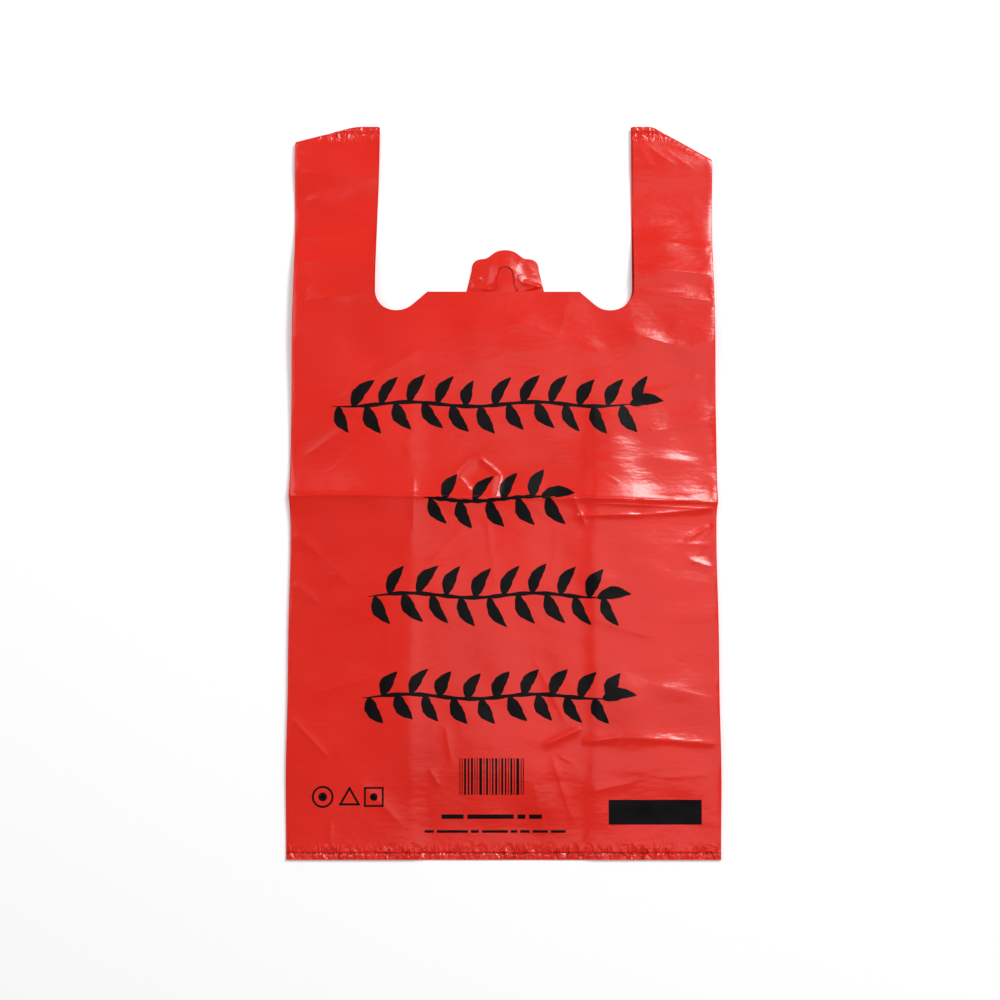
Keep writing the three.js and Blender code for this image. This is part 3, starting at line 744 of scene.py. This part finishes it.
# The stems of the sprays, each one brush stroke from left to right. Its half breadth is a sine, cut off
# flat in the middle, so it thins at both ends.
run = np.linspace(0, 1, 110)[None, :, None]
rows_of = np.array(spray_rows)[:, :, None, None]
stem_x = rows_of[:, 0] + (rows_of[:, 1] - 20 - rows_of[:, 0]) * run + 0 * across
stem_half = 1.3 * np.clip(np.sin(np.pi * run) * 3, 0.2, 1) * (1 + 0.2 * np.sin(run * 60))
stem_y = rows_of[:, 2] + stem_wave(stem_x) + stem_half * across
ink("stem_print", stem_x, stem_y)

# A field of upright bars, printed from the same plate. Their widths follow a simple count and stand for
# nothing, and the gaps between them are even.
number = np.arange(22)
bar_gap, field_width, field_start = 0.75, 44.5, -30.5
bar_half = 0.28 + 0.42 * (number * 7 % 5 > 2) + 0.25 * (number * 3 % 4 == 1)
bar_ends = np.cumsum(2 * bar_half + bar_gap)
bar_scale = field_width / (bar_ends[-1] - bar_gap)
bar_centre = (bar_ends - bar_half - bar_gap) * bar_scale + field_start
bar_x = bar_centre[:, None, None] + bar_half[:, None, None] * np.linspace(-1, 1, 2)[None, None, :]
bar_y = np.linspace(-215.8, -190.8, 12)[None, :, None] + 0 * bar_x
ink("bar_print", bar_x + 0 * bar_y, bar_y)

# Two dashed rules under the bars, the upper one heavier, printed from the same plate. Each dash has its
# start, its end, its height up the bag and half its thickness.
dash = np.array([
    (-42.8, -27.5, -230.7, 1.5), (-25, 7, -230.7, 1.5), (9.5, 15, -230.7, 1.5), (17.5, 26.3, -230.7, 1.5),
    (-54.4, -48, -240.8, 0.9), (-46, -24.5, -240.8, 0.9), (-22.5, -17, -240.8, 0.9), (-15, 3, -240.8, 0.9),
    (5, 9.5, -240.8, 0.9), (11.5, 18, -240.8, 0.9), (20, 30.5, -240.8, 0.9), (32.5, 42.7, -240.8, 0.9),
])[:, :, None, None]
share = np.linspace(0, 1, 14)[None, :, None]
dash_x = dash[:, 0] + (dash[:, 1] - dash[:, 0]) * share + 0 * np.ones((1, 1, 3))
dash_y = dash[:, 2] + dash[:, 3] * np.linspace(-1, 1, 3)[None, None, :] + 0 * dash_x
ink("rule_print", dash_x, dash_y)

# A plain black block at the lower right, a solid field of ink with a straight border. Its grid is fine
# enough to follow the creases under it.
block_x = np.linspace(72.3, 136.4, 34)[None, :, None] + 0 * np.ones((1, 1, 10))
block_y = np.linspace(-236.1, -219.2, 10)[None, None, :] + 0 * block_x
ink("block_print", block_x, block_y)


# At the lower left a ring, a triangle and a square frame, the first and last with a dot, all printed as
# closed loops of ink.
def loop_marks():
    """Closed frames: the loop of each mark, a circle, a triangle and a square, scaled from its inner to
    its outer edge."""
    share = np.linspace(0, 1, 48, endpoint=False)
    angle = 2 * np.pi * share
    circle = np.stack([np.cos(angle), np.sin(angle)])
    polygons = []
    for corners, turned in ((3, np.pi / 2), (4, np.pi / 4)):
        at = share * corners
        first = 2 * np.pi * np.floor(at) / corners + turned
        second = first + 2 * np.pi / corners
        t = at - np.floor(at)
        ends = np.stack([np.cos(first), np.sin(first)]), np.stack([np.cos(second), np.sin(second)])
        polygons.append((1 - t) * ends[0] + t * ends[1])
    loops = np.stack([circle, circle, polygons[0], polygons[1], circle])[..., None]
    ring_at, triangle_at, square_at = (-124.7, -217.2), (-106.2, -218.6), (-89.4, -217.2)
    centre = np.array([ring_at, ring_at, triangle_at, square_at, square_at])
    inner = np.array([6.1, 0.0, 5.9, 7.8, 0.0])[:, None, None]
    outer = np.array([7.5, 3.0, 8.8, 9.6, 2.6])[:, None, None]
    scale = inner + (outer - inner) * np.linspace(0, 1, 3)[None, None, :]
    x = centre[:, 0, None, None] + scale * loops[:, 0]
    y = centre[:, 1, None, None] + scale * loops[:, 1]
    return x, y


mark_x, mark_y = loop_marks()
ink("mark_print", mark_x, mark_y, closed=True)

# The floor: a plain white sheet with a little glow of its own, seen by the camera and in reflections
# but lighting nothing, so that it shows white and still keeps the bag's soft shadow.
floor_mesh = bpy.data.meshes.new("floor")
wide, level = 3, -0.0002
corners = [(x * wide, y * wide, level) for x, y in ((-1, -1), (1, -1), (1, 1), (-1, 1))]
floor_mesh.from_pydata(corners, [], [(0, 1, 2, 3)])
floor = bpy.data.objects.new("floor", floor_mesh)
bpy.context.scene.collection.objects.link(floor)
white = bpy.data.materials.new("white_floor")
white.use_nodes = True
nodes, links = white.node_tree.nodes, white.node_tree.links
shader = nodes["Principled BSDF"]
shader.inputs["Base Color"].default_value = (0.93, 0.93, 0.93, 1)
shader.inputs["Roughness"].default_value = 0.9
shader.inputs["Specular IOR Level"].default_value = 0.1
shader.inputs["Emission Color"].default_value = (1, 1, 1, 1)
ray = nodes.new("ShaderNodeLightPath")
seen_through = reckon("MAXIMUM", ray.outputs["Is Glossy Ray"], ray.outputs["Is Transmission Ray"])
seen = reckon("MAXIMUM", ray.outputs["Is Camera Ray"], seen_through)
links.new(reckon("MULTIPLY", seen, 0.2), shader.inputs["Emission Strength"])
floor_mesh.materials.append(white)

# The light: a soft white room, one wide softbox above the top right, a weaker one at the left, and a
# faint one straight above the right side.
world = bpy.data.worlds.new("room")
world.use_nodes = True
world.node_tree.nodes["Background"].inputs["Color"].default_value = (1, 1, 1, 1)
world.node_tree.nodes["Background"].inputs["Strength"].default_value = 0.24
bpy.context.scene.world = world


def softbox(name, place, aim, size, power):
    """A square area lamp at a place in metres, turned to a point."""
    lamp = bpy.data.lights.new(name, "AREA")
    lamp.shape = "SQUARE"
    lamp.size = size
    lamp.energy = power
    holder = bpy.data.objects.new(name, lamp)
    bpy.context.scene.collection.objects.link(holder)
    holder.location = place
    holder.rotation_euler = (Vector(aim) - Vector(place)).to_track_quat("-Z", "Y").to_euler()


softbox("key_softbox", (1.27, 1.3, 2.3), (0, -0.1, 0), 0.95, 55)
softbox("fill_softbox", (-1.3, 0.7, 1.7), (0, -0.1, 0), 1.2, 9)
softbox("top_softbox", (0.4, -0.1, 1.9), (0.4, -0.1, 0), 1.05, 3.0)

# The camera looks down on the bag from its hem, seven degrees off the vertical.
camera = bpy.data.objects.new("camera", bpy.data.cameras.new("camera"))
bpy.context.scene.collection.objects.link(camera)
aim = np.array([-0.0025, -0.0112, 0.004])
steep, distance = np.radians(83), 1.25
camera.location = aim + distance * np.array([0, -np.cos(steep), np.sin(steep)])
camera.rotation_euler = (np.pi / 2 - steep, 0, 0)
camera.data.angle = np.radians(31.4)
bpy.context.scene.camera = camera
bpy.context.scene.view_settings.view_transform = "Standard"
